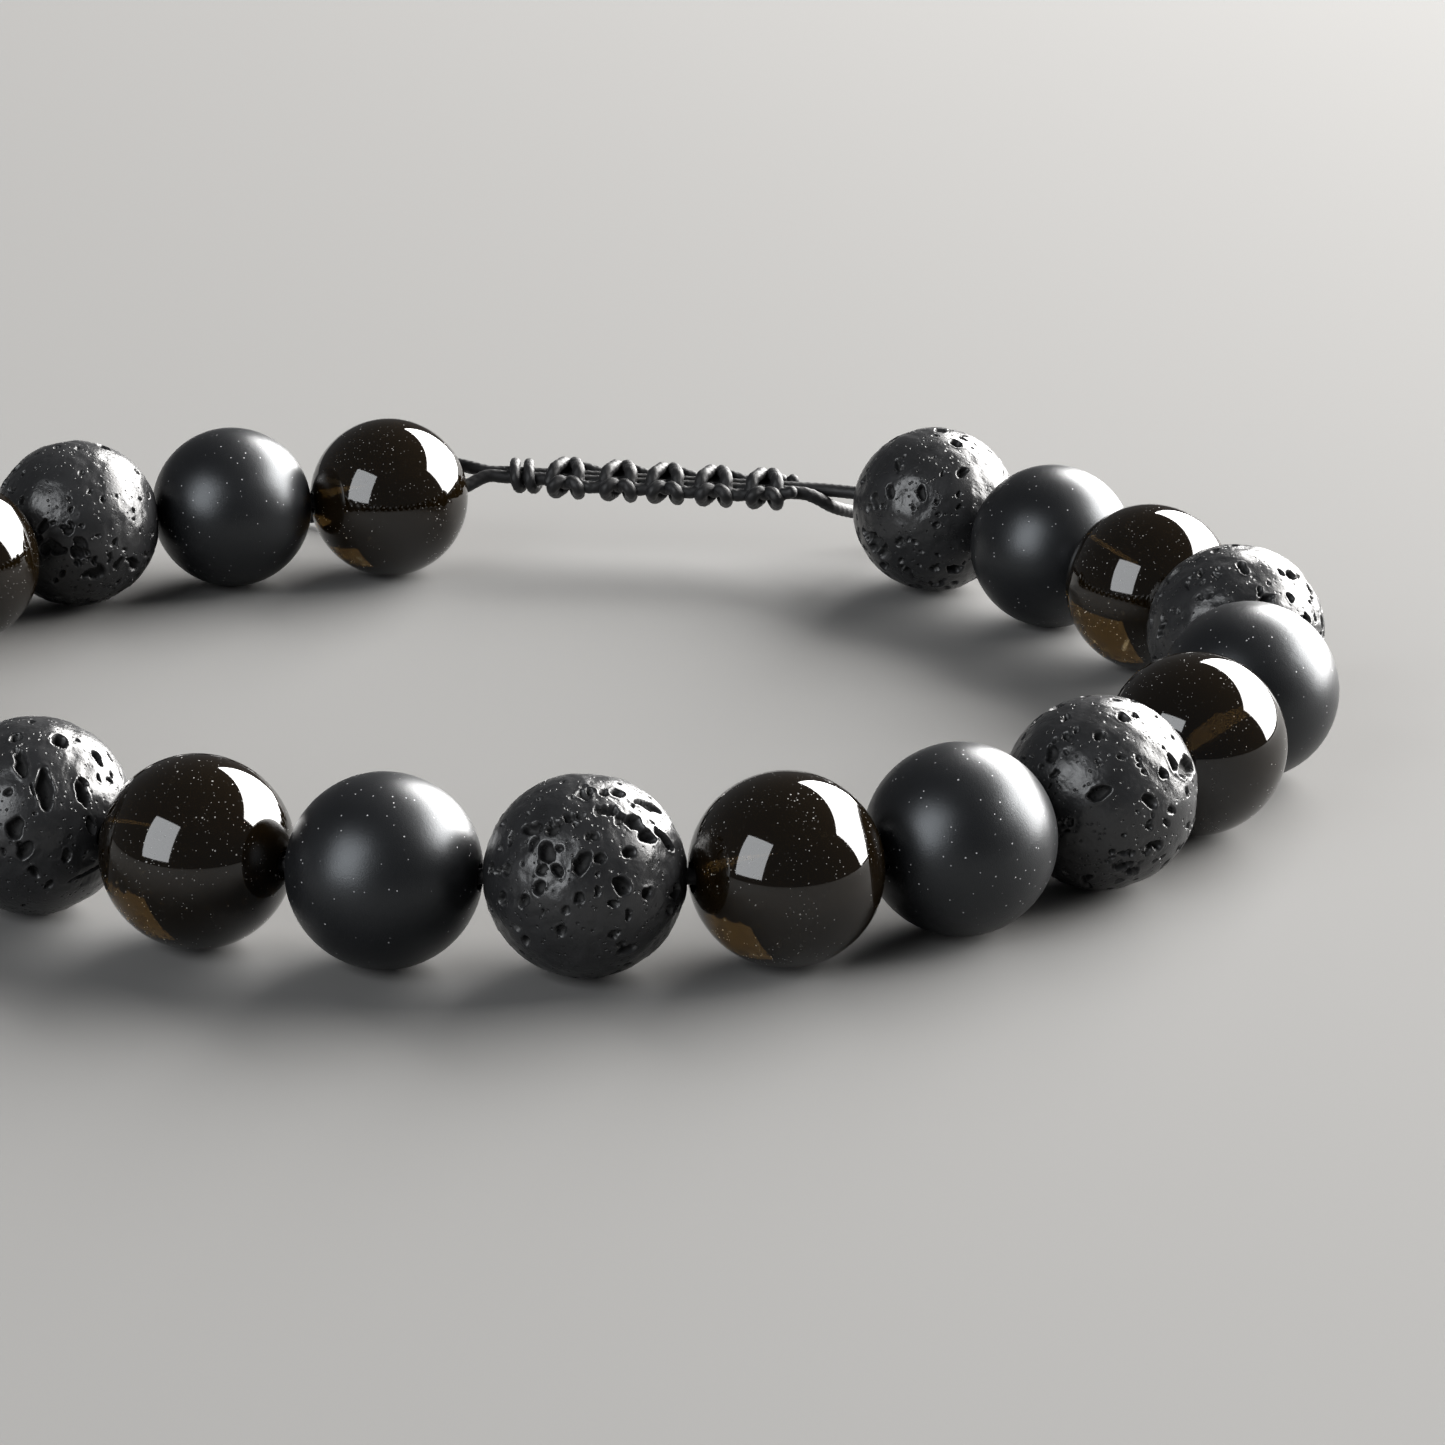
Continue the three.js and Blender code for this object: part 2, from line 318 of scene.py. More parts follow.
def joined(tubes):
    """Several tubes as one set of points, faces and UVs."""
    points, faces, uvs, start = [], [], [], 0
    for some_points, some_faces, some_uvs in tubes:
        points.append(some_points)
        faces += [tuple(start + v for v in face) for face in some_faces]
        uvs += some_uvs
        start += len(some_points)
    return np.vstack(points), faces, uvs


def cord_piece(name, tubes):
    """A piece made of tubes, smooth, with its UV map."""
    points, faces, uvs = joined(tubes)
    mesh = bpy.data.meshes.new(name)
    mesh.from_pydata([tuple(p) for p in points], [], faces)
    layer = mesh.uv_layers.new(name="length_and_turn")
    layer.data.foreach_set("uv", np.array(uvs, dtype=np.float32).ravel())
    shape = bmesh.new()
    shape.from_mesh(mesh)
    bmesh.ops.recalc_face_normals(shape, faces=shape.faces)
    for face in shape.faces:
        face.smooth = True
    shape.to_mesh(mesh)
    shape.free()
    return new_piece(name, mesh)


def new_piece(name, mesh):
    """An object at the origin that shows a mesh."""
    piece = bpy.data.objects.new(name, mesh)
    bpy.context.collection.objects.link(piece)
    return piece


def settle(piece, material, body, slot, *nodes):
    """Gives a piece its material and the body that carries it, and hides the nodes that it stands for; the
    slot is not used.
    """
    piece.data.materials.clear()
    piece.data.materials.append(material)
    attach(piece, body)
    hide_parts(*nodes)


# ---------------------------------------------------------------- the strung loop


def beads_of(kind=""):
    """(node, centre, radius, bore direction) of each bead, or of one kind of bead, in stringing order."""
    found = []
    for joint in frame["joints"]:
        node = joint["child"]
        if "_bead_" in node and node.startswith(kind):
            low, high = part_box(node)
            found.append((node, (low + high) / 2, (high.z - low.z) / 2, Vector(joint["axis"]).normalized()))
    return sorted(found, key=lambda bead: bead[0][-2:])


def knot_frame():
    """The sliding knot's place: its origin at the left end, X along it, Y to the back and Z up."""
    along = (KNOT_RIGHT - KNOT_LEFT).normalized()
    back = UP.cross(along).normalized()
    axes = Matrix((along, back, along.cross(back))).transposed().to_4x4()
    return Matrix.Translation(KNOT_LEFT) @ axes


def lane(end, side, along):
    """A point of a strand: the rear lane has side 1, the front one -1."""
    axes = knot_frame().to_3x3()
    return end + axes @ Vector((along, side * LANE, 0))


def core_route():
    """In at the knot's left end, along the rear lane, through every bead, and back along the front lane."""
    route = [lane(KNOT_LEFT, 1, -JOIN_OVERLAP), lane(KNOT_LEFT, 1, STRAND_INSIDE)]
    route += [lane(KNOT_RIGHT, 1, along) for along in (-STRAND_INSIDE, 0, STRAIGHT_RIGHT)]
    for _, centre, radius, axis in beads_of():
        onward = centre + axis * radius * BORE_REACH - route[-1]
        axis = axis if onward.dot(axis) > 0 else -axis
        route += [centre - axis * radius * BORE_REACH, centre + axis * radius * BORE_REACH]
    route += [lane(KNOT_LEFT, -1, -STRAIGHT_LEFT), lane(KNOT_LEFT, -1, 0)]
    route += [lane(KNOT_LEFT, -1, STRAND_INSIDE), lane(KNOT_RIGHT, -1, -STRAND_INSIDE)]
    return [*route, lane(KNOT_RIGHT, -1, JOIN_OVERLAP)]


def working_cords(radius):
    """The routes of the two cords that tie the square knots, in the knot's own frame."""
    centres = [at * MM for at in SQUARE_KNOTS]
    flank = LANE + 1.9 * radius  # where a cord runs along beside the strands
    loop = LANE + 3.1 * radius  # where a cord goes round the outside of the other
    top = 1.95 * radius
    over, under = [], []
    way = 1
    for centre in centres:
        for at in (centre - HALF_KNOT, centre + HALF_KNOT):
            over += [
                (at - 0.40 * MM, -way * flank, 0.02 * MM), (at - 0.22 * MM, -way * 0.62 * MM, 0.92 * top),
                (at, 0, top), (at + 0.14 * MM, way * 0.62 * MM, 0.9 * top), (at + 0.26 * MM, way * flank, 0),
            ]
            between = way * 0.5 * (flank + loop)
            under += [
                (at - 0.40 * MM, way * flank, 0.02 * MM), (at - 0.08 * MM, between, 0.55 * radius),
                (at + 0.20 * MM, way * loop, -0.1 * radius), (at + 0.17 * MM, way * 0.66 * MM, -0.88 * top),
                (at, 0, -top), (at - 0.15 * MM, -way * 0.66 * MM, -0.88 * top),
                (at - 0.17 * MM, -way * loop, -0.1 * radius), (at + 0.12 * MM, -between, 0.55 * radius),
            ]
            way = -way
    end = centres[-1] + HALF_KNOT
    over += [(end + 0.55 * MM, flank * -way, 0.1 * MM), (end + 0.95 * MM, 1.1 * flank * -way, 0.25 * MM)]
    under += [(end + 0.50 * MM, flank * way, 0), (end + 0.85 * MM, 1.15 * flank * way, 0.2 * MM)]
    return over, under


def whipping(radius):
    """The turns that finish the knot's left end, as a route in the knot's own frame."""
    turns, pitch, start = 2, 2.05 * radius, 0.35 * MM
    route = []
    for i in range(turns * TURN_CUTS + 1):
        angle = 2 * math.pi * i / TURN_CUTS
        at = start + pitch * i / TURN_CUTS
        route.append((at, (LANE + 1.75 * radius) * math.cos(angle), 1.72 * radius * math.sin(angle)))
    return route


def stopper_route(radius, length):
    """An end knot about X: out along the middle, back round, and three turns over the standing part."""
    far = length / 2 - 1.1 * radius
    route = [(-length / 2, 0, 0), (-length / 4, 0, 0), (0, 0, 0), (far * 0.8, 0, 0)]
    route += [(far + 0.75 * radius, 0.35 * radius, 0), (far + 0.95 * radius, 1.1 * radius, 0)]
    turns, pitch = 3, 2.0 * radius
    wound = 1.98 * radius
    for i in range(turns * END_KNOT_CUTS + 1):
        angle = 2 * math.pi * i / END_KNOT_CUTS
        route.append((far - pitch * i / END_KNOT_CUTS, wound * math.cos(angle), wound * math.sin(angle)))
    return route


def in_place(route, matrix, step):
    """A smooth route in the part's frame, from points in the frame of a matrix."""
    return spline([matrix @ Vector(p) for p in route], step)


# ---------------------------------------------------------------- bead shapes


def bored_ball(radius, bore, lip, rings, sides):
    """A ball bored along X, with rounded mouths, as a mesh: a quarter turn of its outline, mirrored twice."""
    shape = bmesh.new()
    reach = math.sqrt((radius - lip) ** 2 - (bore / 2 + lip) ** 2)
    mouth = math.atan2(bore / 2 + lip, reach)
    half = [(reach, bore / 2)]
    for i in range(1, LIP_CUTS):
        angle = -math.pi / 2 + (mouth + math.pi / 2) * i / LIP_CUTS
        half.append((reach + lip * math.cos(angle), bore / 2 + lip + lip * math.sin(angle)))
    arc = []
    for i in range(rings + 1):
        angle = mouth + (math.pi - 2 * mouth) * i / rings
        arc.append((radius * math.cos(angle), radius * math.sin(angle)))
    profile = half + arc + [(-x, r) for x, r in reversed(half)]
    verts = [shape.verts.new((x, 0, r)) for x, r in profile]
    edges = [shape.edges.new(pair) for pair in zip(verts, verts[1:] + verts[:1])]
    bmesh.ops.spin(
        shape, geom=verts + edges, cent=(0, 0, 0), axis=(1, 0, 0), angle=math.pi / 2, steps=sides // 4
    )
    for axis in "YZ":
        whole = shape.verts[:] + shape.edges[:] + shape.faces[:]
        bmesh.ops.mirror(shape, geom=whole, matrix=Matrix(), merge_dist=1e-7, axis=axis)
    bmesh.ops.remove_doubles(shape, verts=shape.verts, dist=1e-7)
    bmesh.ops.recalc_face_normals(shape, faces=shape.faces)
    for face in shape.faces:
        face.smooth = True
    mesh = bpy.data.meshes.new("bored_ball")
    shape.to_mesh(mesh)
    shape.free()
    return mesh


def bead_place(centre, axis):
    """The matrix that takes a bead about X to its place on the cord."""
    across = UP.cross(axis).normalized()
    return Matrix.Translation(centre) @ Matrix((axis, across, axis.cross(across))).transposed().to_4x4()


def waves(points, wavelength, rng, count=28):
    """A smooth random field of spread 1 at each point, with ripples about a wavelength long."""
    ways = rng.normal(size=(count, 3))
    ways *= (2 * math.pi / wavelength * rng.uniform(0.6, 1.5, count) / np.linalg.norm(ways, axis=1))[:, None]
    phases = rng.uniform(0, 2 * math.pi, count).astype(np.float32)
    turns = points.astype(np.float32) @ ways.T.astype(np.float32) + phases
    return np.cos(turns).sum(axis=1) / math.sqrt(count / 2)


def facing(centre, x, y):
    """The direction from a bead's centre to the skin that the camera sees at (x, y) of its radius."""
    towards = (CAMERA_AT - centre).normalized()
    right = UP.cross(towards).normalized()
    up = towards.cross(right)
    return right * x + up * y + towards * math.sqrt(1 - x * x - y * y)


def scattered_pits(rng, count):
    """Random pits as (direction, half length, half width, turn), many small ones, in loose clusters."""
    clusters = rng.normal(size=(PIT_CLUSTERS, 3))
    clusters /= np.linalg.norm(clusters, axis=1)[:, None]
    pits = []
    for _ in range(count):
        direction = rng.normal(size=3)
        if rng.random() < CLUSTERED:
            direction = direction * 0.33 + clusters[rng.integers(PIT_CLUSTERS)]
        low, high = PIT_WIDTHS[int(np.searchsorted(PIT_SHARES, rng.random()))]
        width = rng.uniform(low, high) * MM
        length = width * rng.uniform(1.0, 2.0)
        pits.append((direction / np.linalg.norm(direction), length, width, rng.uniform(0, math.pi)))
    return pits


def known_pits(node, centre):
    """The large pits that a front bead is known by, as scattered_pits gives them."""
    return [
        (np.array(facing(centre, x, y)), half_length * MM, half_width * MM, math.radians(turn))
        for x, y, half_length, half_width, turn in KNOWN_PITS.get(node, ())
    ]


def lava_skin(skin, radius, rng, pits, deepest):
    """How far the skin rises and, from 0 to 1, how deep in a pit it lies, at points about the centre."""
    ragged = skin
    for height, wavelength in PIT_RAGGEDNESS:
        ragged = ragged + height * np.column_stack([waves(skin, wavelength, rng) for _ in range(3)])
    depth = np.zeros(len(skin))
    rim = np.zeros(len(skin))
    for direction, half_length, half_width, turn in pits:
        direction = np.array(direction)
        level = np.cross((0, 0, 1), direction)
        level /= np.linalg.norm(level)
        rise = np.cross(direction, level)
        long = level * math.cos(turn) + rise * math.sin(turn)
        wide = rise * math.cos(turn) - level * math.sin(turn)
        near = np.nonzero(skin @ direction > math.cos(PIT_REACH * half_length / radius) * radius)[0]
        x = ragged[near] @ long / half_length
        y = ragged[near] @ wide / half_width
        away = np.sqrt(x * x + y * y)
        fall = np.clip((1.08 - away) / 0.25, 0, 1)
        fall = fall * fall * (3 - 2 * fall) * (1 - 0.3 * np.clip(away, 0, 1) ** 2)
        deep = min(deepest, 1.35 * half_width + 0.03 * MM)
        depth[near] = np.maximum(depth[near], deep * fall)
        raised = np.exp(-(((away - 1.2) / 0.15) ** 2)) * min(RIM_HEIGHT, 0.14 * half_width)
        rim[near] = np.maximum(rim[near], raised)
    lumps = sum(height * waves(skin, wavelength, rng) for height, wavelength in SKIN_LUMPS)
    rise = lumps + rim - SKIN_SUNK
    return np.minimum(rise, 0) - depth, np.clip(depth / FULL_PIT, 0, 1)


# ---------------------------------------------------------------- finishes


class Field:
    """A socket of a material's nodes, or what a sum of them comes to."""

    def __init__(self, finish, socket):
        self.finish = finish
        self.socket = socket

    def __add__(self, other):
        return self.finish.maths("ADD", self, other)

    def __sub__(self, other):
        return self.finish.maths("SUBTRACT", self, other)

    def __rsub__(self, other):
        return self.finish.maths("SUBTRACT", other, self)

    def __mul__(self, other):
        return self.finish.maths("MULTIPLY", self, other)

    __radd__ = __add__
    __rmul__ = __mul__


class Finish:
    """A material in the making."""

    def __init__(self, name):
        self.material = bpy.data.materials.new(name)
        self.material.use_nodes = True
        self.tree = self.material.node_tree
        self.shader = self.tree.nodes["Principled BSDF"]

    def node(self, kind, settings=None, sockets=None, out=0):
        """Adds a node, its settings before the values or links of its sockets, and gives an output of it."""
        node = self.tree.nodes.new("ShaderNode" + kind)
        for name, value in (settings or {}).items():
            setattr(node, name, value)
        for name, value in (sockets or {}).items():
            self.feed(node.inputs[name], value)
        return Field(self, node.outputs[out])

    def feed(self, socket, value):
        """Links or sets a socket."""
        if isinstance(value, Field):
            self.tree.links.new(value.socket, socket)
        else:
            socket.default_value = value

    def maths(self, operation, *operands):
        return self.node("Math", {"operation": operation}, dict(enumerate(operands)))

    def place(self):
        """Where a point lies in the part's frame."""
        return self.node("TexCoord", out="Object")

    def noise(self, place, size, detail=3.0, roughness=0.5):
        """Noise from 0 to 1 whose patches are about a size across."""
        sockets = {"Vector": place, "Scale": 1 / size, "Detail": detail, "Roughness": roughness}
        return self.node("TexNoise", None, sockets)

    def cells(self, place, size):
        """The distance to the nearest of scattered points that lie about a size apart, in shares of it."""
        return self.node("TexVoronoi", None, {"Vector": place, "Scale": 1 / size}, "Distance")

    def step(self, value, low, high):
        """0 below low, 1 above high, smooth between."""
        sockets = {"Value": value, "From Min": low, "From Max": high}
        return self.node("MapRange", {"interpolation_type": "SMOOTHSTEP"}, sockets)

    def tint(self, factor, under, over):
        """A colour, or an output that gives one, mixed towards a second colour."""
        under = under if isinstance(under, Field) else (*under, 1)
        return self.node("Mix", {"data_type": "RGBA"}, {0: factor, 6: under, 7: (*over, 1)}, 2)

    def bump(self, height, distance, strength, under=None):
        """A Bump node over a height, on top of another one where one is given."""
        sockets = {"Height": height, "Distance": distance, "Strength": strength}
        if under is not None:
            sockets["Normal"] = under
        return self.node("Bump", None, sockets)

    def shade(self, **sockets):
        """Sets or links the shader's sockets, and gives the material."""
        for name, value in sockets.items():
            self.feed(self.shader.inputs[name.replace("_", " ").replace("Ior", "IOR")], value)
        return self.material


def lava_finish(colour):
    """Satin black skin, dull and darkened by painted shade in the pits, with tiny pits between the large ones,
    also darkened by painted shade.
    """
    finish = Finish("lava_skin")
    place = finish.place()
    pit = finish.node("Attribute", {"attribute_name": "pit"}, None, "Fac")
    patch = finish.noise(place, 1.1 * MM, 4)
    grain = finish.noise(place, 0.12 * MM, 5, 0.62)
    specks = 1 - finish.step(finish.cells(place, 0.30 * MM), 0.14, 0.27)
    specks = specks * finish.step(finish.noise(place, 0.7 * MM, 2), 0.40, 0.54)
    open_skin = 1 - finish.step(pit, 0.05, 0.4)
    shade = finish.tint(patch, [0.72 * c for c in colour], [1.45 * c for c in colour])
    shade = finish.tint(finish.step(grain, 0.62, 0.74) * open_skin * 0.5, shade, [4.5 * c for c in colour])
    # Painted shade: the tiny pits are painted darker.
    shade = finish.tint(specks * 0.8, shade, [0.2 * c for c in colour])
    # Painted shade: the deeper the skin lies in a pit, the darker its colour.
    shade = finish.tint(finish.step(pit, 0.08, 0.75), shade, [0.28 * c for c in colour])
    rough = 0.22 + patch * 0.16 + pit * 0.45 + specks * 0.25
    fine = finish.bump(grain, 0.018 * MM, 0.6)
    pitted = finish.bump(1 - specks, 0.06 * MM, 0.9, fine)
    return finish.shade(Base_Color=shade, Roughness=rough, Normal=pitted, Ior=1.5)


def frosted_finish(colour):
    """Sand-blasted stone: an even fine tooth, bluish where it turns away, with tiny bright nicks."""
    finish = Finish("frosted_stone_skin")
    place = finish.place()
    cloud = finish.noise(place, 1.6 * MM, 3)
    tooth = finish.noise(place, 0.055 * MM, 3, 0.6)
    nick = finish.cells(place, 0.36 * MM)
    rare = finish.step(finish.noise(place, 0.5 * MM, 1), 0.40, 0.52)
    nicks = (1 - finish.step(nick, 0.065, 0.11)) * rare
    shade = finish.tint(cloud, [0.82 * c for c in colour], [1.2 * c for c in colour])
    shade = finish.tint(nicks, shade, (0.42, 0.42, 0.43))
    rough = 0.29 + cloud * 0.05 + tooth * 0.06
    normal = finish.bump(tooth, 0.010 * MM, 0.6)
    normal = finish.bump(1 - nicks, 0.02 * MM, 0.6, normal)
    return finish.shade(
        Base_Color=shade, Roughness=rough, Normal=normal, Ior=1.47, Specular_Tint=(0.92, 0.96, 1, 1),
    )


def polished_finish(colour):
    """Nearly black volcanic glass: mirror polish, amber where strong light comes through, dust, scratches."""
    finish = Finish("polished_stone_skin")
    place = finish.place()
    where = finish.step(finish.noise(place, 1.8 * MM, 2), 0.34, 0.56)
    coarse = 1 - finish.step(finish.cells(place, 0.50 * MM), 0.055, 0.085)
    small = 1 - finish.step(finish.cells(place, 0.19 * MM), 0.09, 0.15)
    dust = (coarse + small * where * 0.6) * where
    for turn, size in (((0.9, 0.4, 0.3), 0.45 * MM), ((0.4, -1.1, 0.8), 0.55 * MM)):
        sockets = {"Vector": place, "Rotation": turn, "Scale": (1, 1, 7)}
        stretched = finish.node("Mapping", {"vector_type": "TEXTURE"}, sockets)
        dust = dust + 1 - finish.step(finish.cells(stretched, size), 0.035, 0.055)
    shade = finish.tint(dust, colour, (0.5, 0.49, 0.47))
    rough = 0.035 + finish.noise(place, 0.9 * MM, 2) * 0.02 + dust * 0.5
    swirl = finish.noise(place, 2.5 * MM, 2)
    normal = finish.bump(swirl, 0.010 * MM, 0.25)
    return finish.shade(
        Base_Color=shade, Roughness=rough, Normal=normal, Ior=1.53, Transmission_Weight=0.48,
    )


def cord_finish(name, colour):
    """Waxed black thread: fibres along the strands, a soft shine on the crowns."""
    finish = Finish(name)
    place = finish.place()
    turn = finish.node("UVMap", {"uv_map": "length_and_turn"})
    fibre_place = finish.node("Mapping", None, {"Vector": turn, "Scale": (2600, 30, 1)})
    fibre = finish.node("TexNoise", None, {"Vector": fibre_place, "Scale": 1.0, "Detail": 3.0})
    wax = finish.noise(place, 0.6 * MM, 3)
    shade = finish.tint(wax, [0.7 * c for c in colour], [1.9 * c for c in colour])
    shade = finish.tint(finish.step(fibre, 0.55, 0.8) * 0.5, shade, [5 * c for c in colour])
    rough = 0.42 + wax * 0.22
    normal = finish.bump(fibre, 0.02 * MM, 0.7)
    return finish.shade(
        Base_Color=shade, Roughness=rough, Normal=normal, Ior=1.37, Sheen_Weight=0.02, Sheen_Roughness=0.5,
    )


# ---------------------------------------------------------------- operators


class MALA_OT_camera(Operator):
    """Adds the camera, low in front of the mala"""

    bl_idname = "mala.camera"
    bl_label = "Add Camera"

    def execute(self, context):
        view = Vector((
            math.sin(CAMERA_RIGHT) * math.cos(CAMERA_DOWN),
            math.cos(CAMERA_RIGHT) * math.cos(CAMERA_DOWN),
            -math.sin(CAMERA_DOWN),
        ))
        level = Vector((math.cos(CAMERA_RIGHT), -math.sin(CAMERA_RIGHT), 0))
        rise = level.cross(view)
        right = level * math.cos(CAMERA_ROLL) + rise * math.sin(CAMERA_ROLL)
        up = right.cross(view)
        lens = bpy.data.cameras.new("camera")
        lens.lens = context.scene.mala_stage.focal_length
        lens.sensor_width = 36
        lens.clip_start, lens.clip_end = 0.01, 20
        camera = bpy.data.objects.new("camera", lens)
        camera.matrix_world = Matrix.Translation(CAMERA_AT) @ Matrix((right, up, -view)).transposed().to_4x4()
        context.collection.objects.link(camera)
        context.scene.camera = camera
        return {"FINISHED"}


class MALA_OT_tails(Operator):
    """Adds the two free tails of the cord with their end knots"""

    bl_idname = "mala.tails"
    bl_label = "Add Tails"

    def execute(self, context):
        cord = context.scene.mala_cord
        radius = cord.diameter / 2
        finish = cord_finish("waxed_cord", cord.colour)
        for side, points in (("left", LEFT_TAIL), ("right", RIGHT_TAIL)):
            route = spline([Vector(p) * MM for p in points], FREE_CORD_STEP)
            tail = cord_piece(f"{side}_tail_braid", [tube(route, radius, cord.plait, cap=0.25)])
            settle(tail, finish, "cord", "cord", f"{side}_tail")
            low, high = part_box(f"{side}_stopper_knot")
            middle = (low + high) / 2
            heading = Vector((route[-1] - route[-6]).tolist()).normalized()
            heading.z = 0
            place = bead_place(middle, heading.normalized())
            wound = in_place(stopper_route(radius, END_KNOT_LENGTH), place, FREE_CORD_STEP)
            stub = [
                (0.5 * MM, -0.5 * radius, 0.2 * radius), (1.2 * MM, -0.9 * radius, 0.3 * radius),
                (1.42 * MM, -1.0 * radius, 0.3 * radius),
            ]
            cut_end = tube(in_place(stub, place, FREE_CORD_STEP), 0.9 * radius, cord.plait)
            knot = cord_piece(f"{side}_end_knot", [tube(wound, radius, cord.plait), cut_end])
            settle(knot, finish, "cord", "cord", f"{side}_stopper_knot")
        return {"FINISHED"}


class MALA_OT_core_cord(Operator):
    """Adds the cord that every bead is strung on"""

    bl_idname = "mala.core_cord"
    bl_label = "Add Core Cord"

    def execute(self, context):
        cord = context.scene.mala_cord
        route = spline(core_route(), CORE_CORD_STEP)
        piece = cord_piece("core_cord_braid", [tube(route, cord.diameter / 2, cord.plait, cap=0.25)])
        settle(piece, bpy.data.materials["waxed_cord"], "cord", "cord", "core_cord")
        return {"FINISHED"}


class MALA_OT_sliding_knot(Operator):
    """Adds the row of square knots that slides on the two strands"""

    bl_idname = "mala.sliding_knot"
    bl_label = "Add Sliding Knot"

    def execute(self, context):
        cord = context.scene.mala_cord
        radius = cord.diameter / 2
        place = knot_frame()
        tubes = [
            tube(in_place(route, place, KNOTTING_CORD_STEP), 0.96 * radius, cord.plait, cap=0.8)
            for route in working_cords(radius)
        ]
        turns = in_place(whipping(radius), place, KNOTTING_CORD_STEP)
        tubes.append(tube(turns, 0.8 * radius, cord.plait))
        piece = cord_piece("macrame_sliding_knot", tubes)
        finish = cord_finish("waxed_knotting_cord", [1.1 * c for c in cord.colour])
        settle(piece, finish, "sliding_knot", "knotting_cord", "sliding_knot")
        return {"FINISHED"}


class MALA_OT_lava_beads(Operator):
    """Adds the lava beads, each with pits of its own"""

    bl_idname = "mala.lava_beads"
    bl_label = "Add Lava Beads"

    def execute(self, context):
        beads = context.scene.mala_beads
        finish = lava_finish(beads.lava_colour)
        ball = bored_ball(beads_of("lava")[0][2], beads.bore, beads.lip, LAVA_RINGS, LAVA_SIDES)
        for number, (node, centre, radius, axis) in enumerate(beads_of("lava")):
            mesh = ball.copy()
            mesh.name = node + "_stone"
            mesh.transform(bead_place(centre, axis))
            points = np.empty(len(mesh.vertices) * 3)
            mesh.vertices.foreach_get("co", points)
            skin = points.reshape(-1, 3) - np.array(centre)
            rng = np.random.default_rng(LAVA_SEED + number)
            pits = known_pits(node, centre)
            pits += scattered_pits(rng, beads.pits // 2 if pits else beads.pits)
            rise, pit = lava_skin(skin, radius, rng, pits, beads.pit_depth)
            outward = skin / np.linalg.norm(skin, axis=1)[:, None]
            from_axis = np.linalg.norm(np.cross(skin, np.array(axis)), axis=1)
            keep = np.clip((from_axis - beads.bore / 2 - BARE_MOUTH) / MOUTH_FADE, 0, 1)
            moved = skin + outward * (rise * keep)[:, None] + np.array(centre)
            mesh.vertices.foreach_set("co", moved.ravel())
            # The pit mark makes the skin rougher, and the finish paints shade darker by it.
            mark = mesh.attributes.new("pit", "FLOAT", "POINT")
            mark.data.foreach_set("value", (pit * keep).astype(np.float32))
            mesh.update()
            settle(new_piece(node + "_stone", mesh), finish, node, "lava_stone", node)
        return {"FINISHED"}


def add_smooth_beads(kind, finish, slot, beads):
    """The beads of one smooth kind, all turned from the same ball."""
    ball = bored_ball(beads_of(kind)[0][2], beads.bore, beads.lip, SMOOTH_RINGS, SMOOTH_SIDES)
    for node, centre, radius, axis in beads_of(kind):
        mesh = ball.copy()
        mesh.name = node + "_stone"
        mesh.transform(bead_place(centre, axis))
        settle(new_piece(node + "_stone", mesh), finish, node, slot, node)


class MALA_OT_frosted_beads(Operator):
    """Adds the frosted beads"""

    bl_idname = "mala.frosted_beads"
    bl_label = "Add Frosted Beads"

    def execute(self, context):
        beads = context.scene.mala_beads
        add_smooth_beads("frosted", frosted_finish(beads.frosted_colour), "frosted_stone", beads)
        return {"FINISHED"}


class MALA_OT_polished_beads(Operator):
    """Adds the polished beads"""

    bl_idname = "mala.polished_beads"
    bl_label = "Add Polished Beads"

    def execute(self, context):
        beads = context.scene.mala_beads
        add_smooth_beads("polished", polished_finish(beads.polished_colour), "polished_stone", beads)
        return {"FINISHED"}


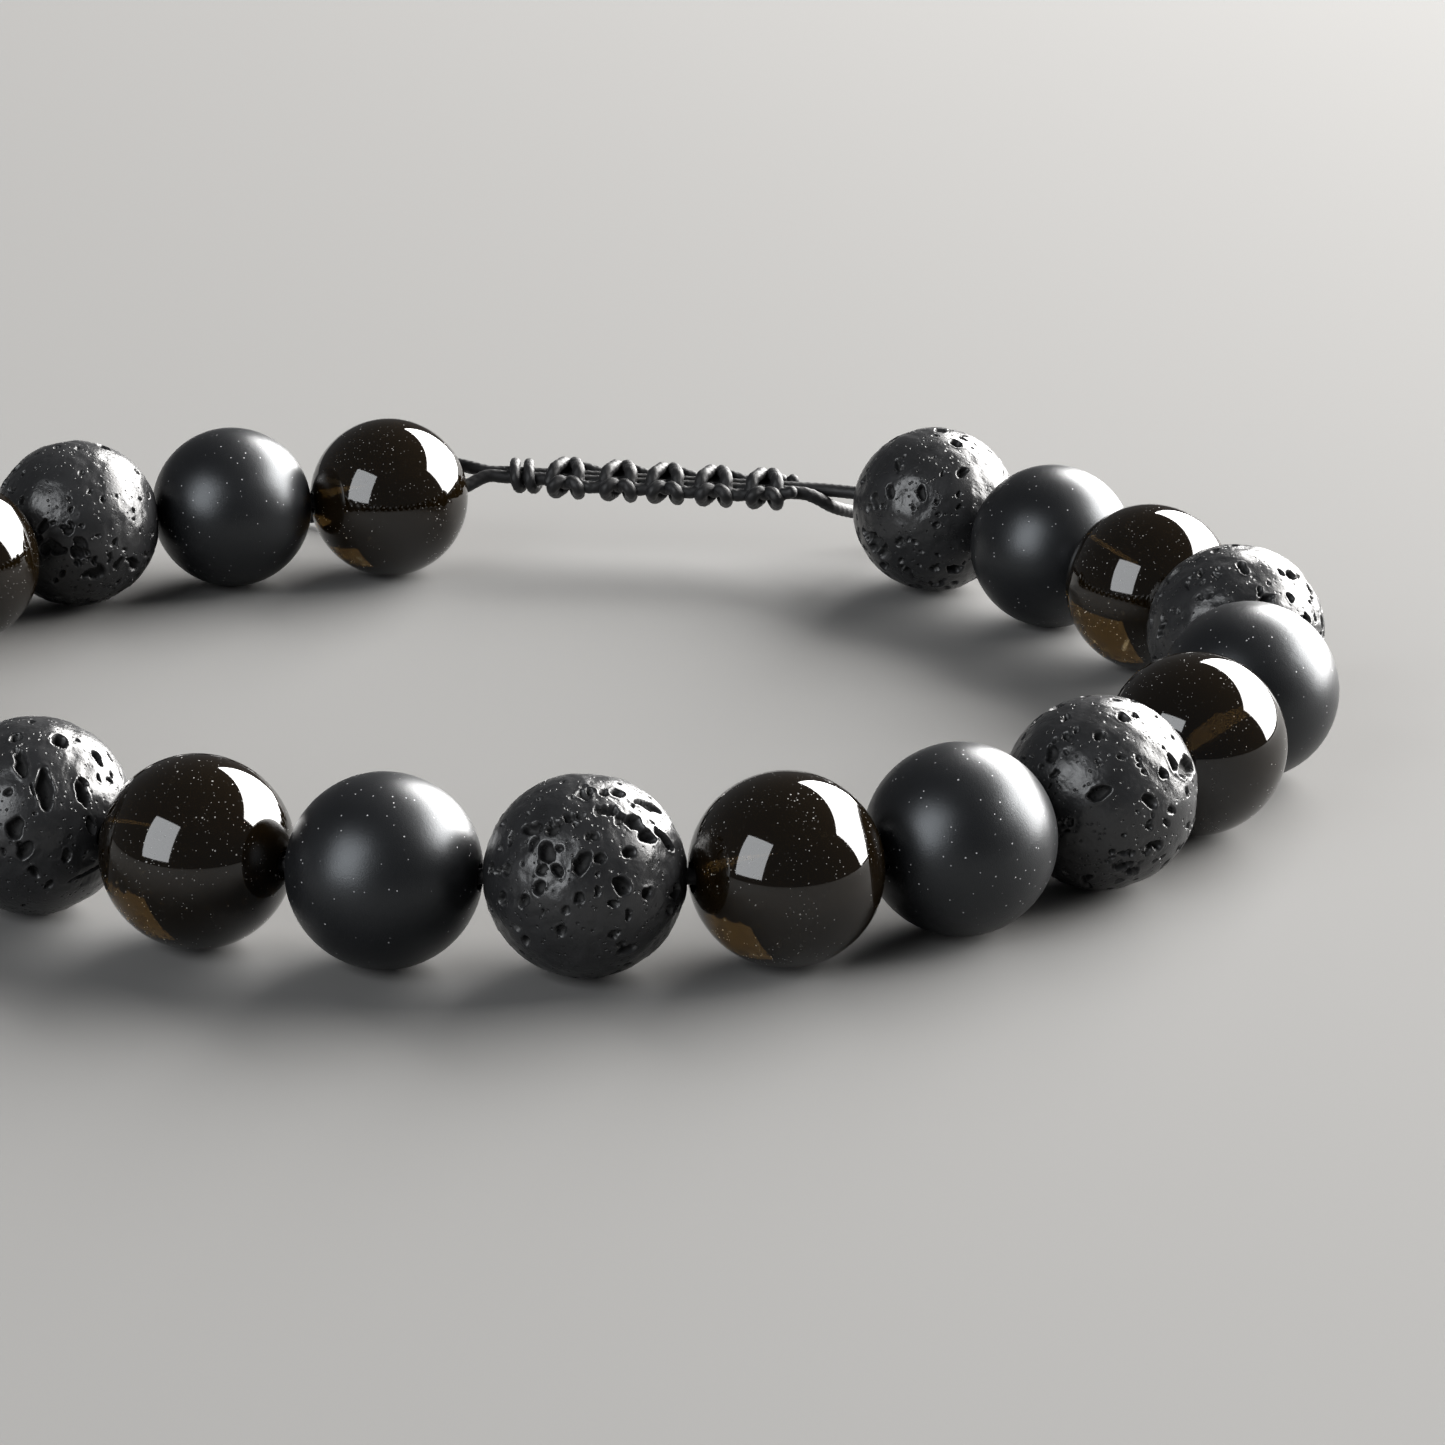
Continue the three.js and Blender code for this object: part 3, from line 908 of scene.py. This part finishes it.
class MALA_OT_stage(Operator):
    """Adds the floor, the lights and the surroundings"""

    bl_idname = "mala.stage"
    bl_label = "Add Stage"

    def execute(self, context):
        stage = context.scene.mala_stage
        shape = bmesh.new()
        bmesh.ops.create_grid(shape, x_segments=8, y_segments=8, size=FLOOR_REACH)
        mesh = bpy.data.meshes.new("floor")
        shape.to_mesh(mesh)
        shape.free()
        floor = new_piece("floor", mesh)
        paper = Finish("floor_paper")
        mesh.materials.append(paper.shade(Base_Color=(*stage.floor_colour, 1), Roughness=0.9, Ior=1.2))
        lights = (
            ("window_light", *WINDOW_LIGHT, stage.key_power),
            ("fill_light", *FILL_LIGHT, stage.fill_power),
        )
        for name, towards, distance, size, colour, power in lights:
            lamp = bpy.data.lights.new(name, "AREA")
            lamp.shape = "RECTANGLE"
            lamp.size, lamp.size_y = size
            lamp.energy = power
            lamp.color = colour
            light = bpy.data.objects.new(name, lamp)
            light.location = Vector(towards).normalized() * distance
            light.rotation_mode = "QUATERNION"
            light.rotation_quaternion = Vector(towards).to_track_quat("Z", "Y")
            context.collection.objects.link(light)
        world = bpy.data.worlds.new("studio")
        world.use_nodes = True
        background = world.node_tree.nodes["Background"]
        background.inputs["Color"].default_value = STUDIO_COLOUR
        background.inputs["Strength"].default_value = STUDIO_STRENGTH
        context.scene.world = world
        context.scene.view_settings.view_transform = "Standard"
        return {"FINISHED"}


class MALA_PT_panel(Panel):
    """Lists the steps that make the mala"""

    bl_idname = "MALA_PT_panel"
    bl_label = "Bead Mala"
    bl_space_type = "VIEW_3D"
    bl_region_type = "UI"
    bl_category = "Mala"

    def draw(self, context):
        for title, group in (("Beads", "mala_beads"), ("Cord", "mala_cord"), ("Stage", "mala_stage")):
            box = self.layout.box()
            box.label(text=title)
            settings = getattr(context.scene, group)
            for name in settings.__annotations__:
                box.prop(settings, name)
        for step in STEPS:
            self.layout.operator(step.bl_idname)


GROUPS = {"mala_beads": MalaBeads, "mala_cord": MalaCord, "mala_stage": MalaStage}
STEPS = (
    MALA_OT_camera, MALA_OT_tails, MALA_OT_core_cord, MALA_OT_sliding_knot, MALA_OT_lava_beads,
    MALA_OT_frosted_beads, MALA_OT_polished_beads, MALA_OT_stage,
)


def register():
    for name, group in GROUPS.items():
        bpy.utils.register_class(group)
        setattr(bpy.types.Scene, name, PointerProperty(type=group))
    for one in (*STEPS, MALA_PT_panel):
        bpy.utils.register_class(one)


def unregister():
    for one in (MALA_PT_panel, *reversed(STEPS)):
        bpy.utils.unregister_class(one)
    for name, group in GROUPS.items():
        delattr(bpy.types.Scene, name)
        bpy.utils.unregister_class(group)


def main():
    register()
    bpy.ops.mala.camera()
    bpy.ops.mala.tails()
    bpy.ops.mala.core_cord()
    bpy.ops.mala.sliding_knot()
    bpy.ops.mala.lava_beads()
    bpy.ops.mala.frosted_beads()
    bpy.ops.mala.polished_beads()
    bpy.ops.mala.stage()


if __name__ == "__main__":
    main()
